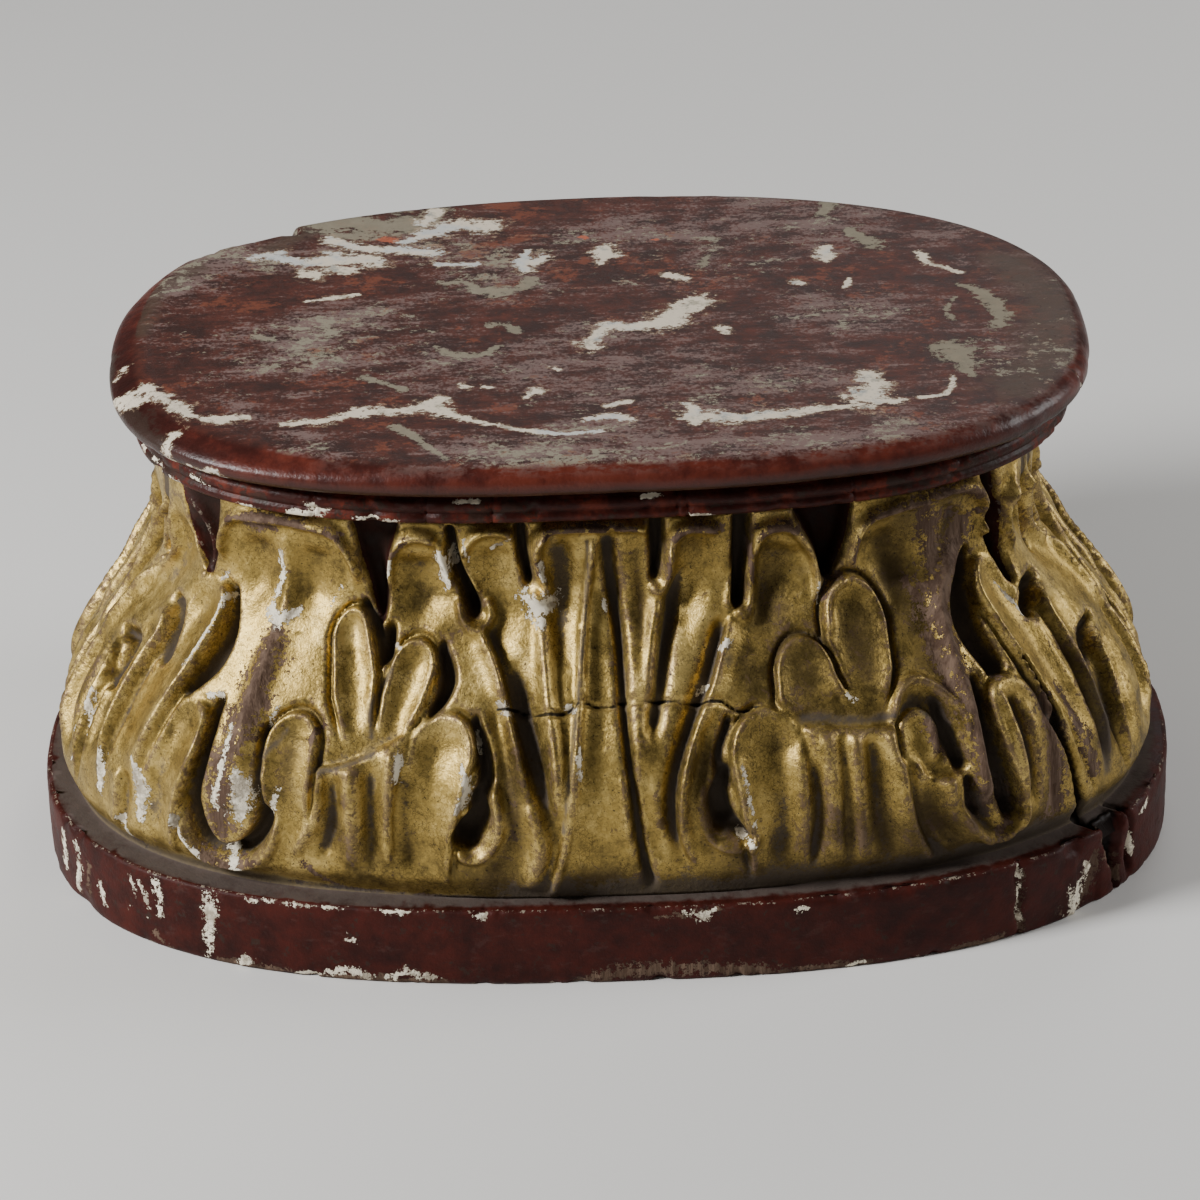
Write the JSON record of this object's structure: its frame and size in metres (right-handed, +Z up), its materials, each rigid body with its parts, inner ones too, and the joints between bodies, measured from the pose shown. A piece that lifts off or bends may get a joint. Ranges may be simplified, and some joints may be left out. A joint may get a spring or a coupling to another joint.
{
  "type": "carved wooden socle",
  "caption": "Oval wooden statue base with a carved and gilded band of acanthus leaves between a red plinth band and a red top board.",
  "frame": {"origin": "middle of the underside, on the surface that the socle stands on", "axes": "+Z up, +X along the long axis of the oval to the right seen from the front, front towards -Y"},
  "size_m": [0.426, 0.2904, 0.192],
  "materials": {
    "gilded_wood": "worn antique gilding over gesso and red bole on carved wood, with an oxblood painted plinth band",
    "red_wood": "worn oxblood paint on wood, dusty and flaked to the gesso on top, semi-gloss on the rounded edge"
  },
  "bodies": {
    "root": {"carved_body": "gilded_wood", "top_board": "red_wood"}
  },
  "joints": []
}
